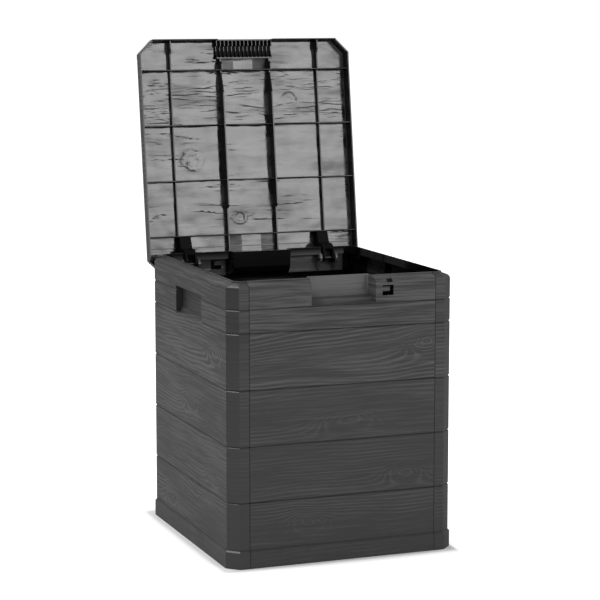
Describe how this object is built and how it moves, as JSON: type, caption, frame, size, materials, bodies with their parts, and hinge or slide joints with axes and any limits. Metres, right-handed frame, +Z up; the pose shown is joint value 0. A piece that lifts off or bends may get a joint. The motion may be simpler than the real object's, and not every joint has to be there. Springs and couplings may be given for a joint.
{
  "type": "garden storage box",
  "caption": "Upright plastic garden storage box with plank-look walls, a finger recess, side handle pockets, a padlock eye and a ribbed hinged lid, shown open.",
  "frame": {"origin": "on the ground under the middle of the box, at the centre of the floor's foot pad", "axes": "+Z up, +X to the right seen from the front, -Y towards the front with the finger recess and padlock eye"},
  "size_m": [0.443, 0.5532, 0.9356],
  "materials": {
    "grained_panel": "anthracite moulded plastic with a wood-grain texture",
    "floor_plastic": "anthracite moulded plastic, smooth",
    "lid_plastic": "anthracite moulded plastic, glossy inside, grained outside",
    "pin_plastic": "black moulded plastic"
  },
  "bodies": {
    "box": {"front_panel": "grained_panel", "back_panel": "grained_panel", "left_side_panel": "grained_panel", "right_side_panel": "grained_panel", "floor_panel": "floor_plastic", "left_hinge_pin": "pin_plastic", "right_hinge_pin": "pin_plastic"},
    "lid": {"lid": "lid_plastic"}
  },
  "joints": [
    {"name": "lid_hinge", "type": "hinge", "parent": "box", "child": "lid", "pos_m": [0, 0.2128, 0.4981], "axis": [1, 0, 0], "range_deg": [0, 97.9]}
  ]
}
